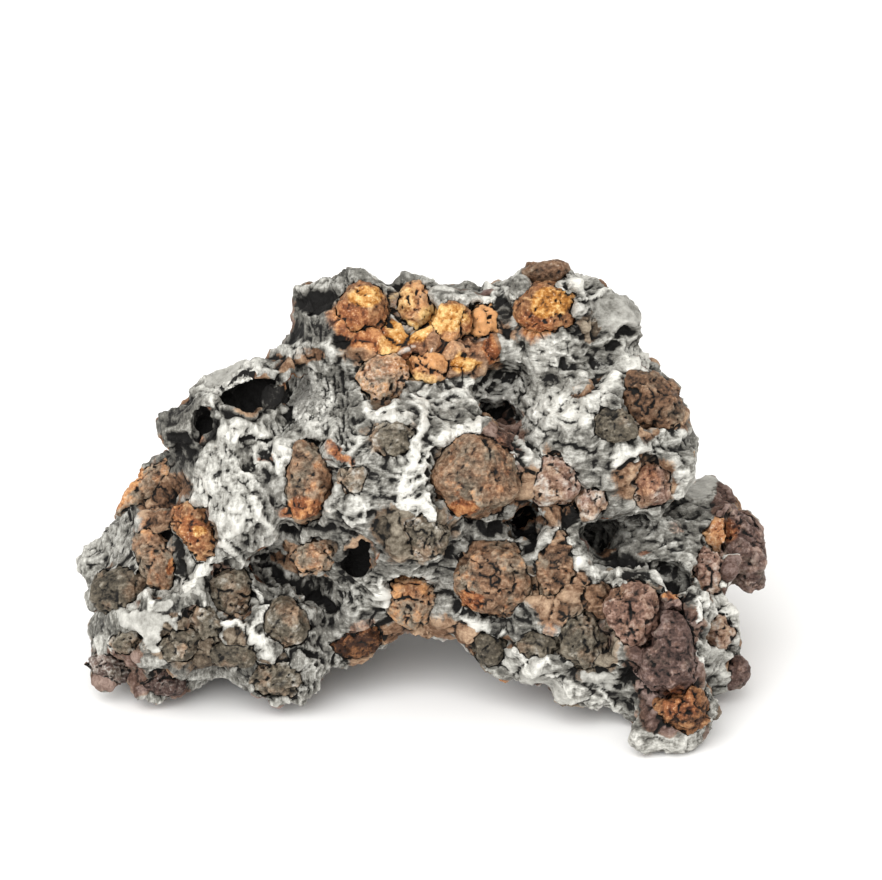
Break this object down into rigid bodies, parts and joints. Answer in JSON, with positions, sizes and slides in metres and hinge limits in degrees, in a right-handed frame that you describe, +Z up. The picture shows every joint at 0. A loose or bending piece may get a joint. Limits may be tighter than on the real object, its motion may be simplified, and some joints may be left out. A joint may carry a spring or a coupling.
{
  "type": "pallasite meteorite",
  "caption": "Arched, craggy pallasite meteorite: a grey nickel-iron matrix studded with rounded amber, brown and plum olivine crystals, resting on small flat spots.",
  "frame": {"origin": "on the table, below the middle of the stone's box", "axes": "+X to the right along the stone's length as it is seen from the front, +Y from its front to its back, +Z up from the table it stands on"},
  "size_m": [0.0866, 0.0542, 0.0516],
  "materials": {
    "nickel_iron": "rough, wire-brushed raw metal with dark crust in its hollows",
    "amber": "rough, slightly glassy broken crystal",
    "brown": "rough weathered crystal",
    "umber": "rough weathered crystal",
    "rose": "rough weathered crystal",
    "plum": "smooth weathered crystal"
  },
  "bodies": {
    "root": {"nickel_iron_matrix": "nickel_iron", "olivine_centre_01": "brown", "olivine_centre_02": "brown", "olivine_centre_03": "brown", "olivine_centre_04": "brown", "olivine_centre_05": "umber", "olivine_centre_06": "umber", "olivine_centre_07": "umber", "olivine_centre_08": "rose", "olivine_centre_09": "brown", "olivine_centre_10": "rose", "olivine_centre_11": "umber", "olivine_centre_12": "umber", "olivine_centre_13": "brown", "olivine_crown_01": "amber", "olivine_crown_02": "amber", "olivine_crown_03": "amber", "olivine_crown_04": "amber", "olivine_crown_05": "amber", "olivine_crown_06": "brown", "olivine_crown_07": "amber", "olivine_far_01": "brown", "olivine_far_02": "umber", "olivine_far_03": "rose", "olivine_far_04": "plum", "olivine_far_05": "umber", "olivine_far_06": "brown", "olivine_far_07": "amber", "olivine_far_08": "brown", "olivine_far_09": "umber", "olivine_far_10": "brown", "olivine_left_01": "umber", "olivine_left_02": "brown", "olivine_left_03": "amber", "olivine_left_04": "umber", "olivine_left_05": "umber", "olivine_left_06": "umber", "olivine_left_07": "umber", "olivine_left_08": "umber", "olivine_left_09": "plum", "olivine_left_10": "plum", "olivine_left_11": "umber", "olivine_left_12": "brown", "olivine_left_13": "amber", "olivine_left_14": "brown", "olivine_left_15": "umber", "olivine_right_01": "brown", "olivine_right_02": "umber", "olivine_right_03": "rose", "olivine_right_04": "plum", "olivine_right_05": "amber", "olivine_right_06": "rose", "olivine_right_07": "rose", "olivine_right_08": "plum", "olivine_right_09": "rose", "olivine_right_10": "plum", "olivine_right_11": "amber", "olivine_right_12": "umber", "olivine_right_13": "plum", "olivine_right_14": "brown"}
  },
  "joints": []
}
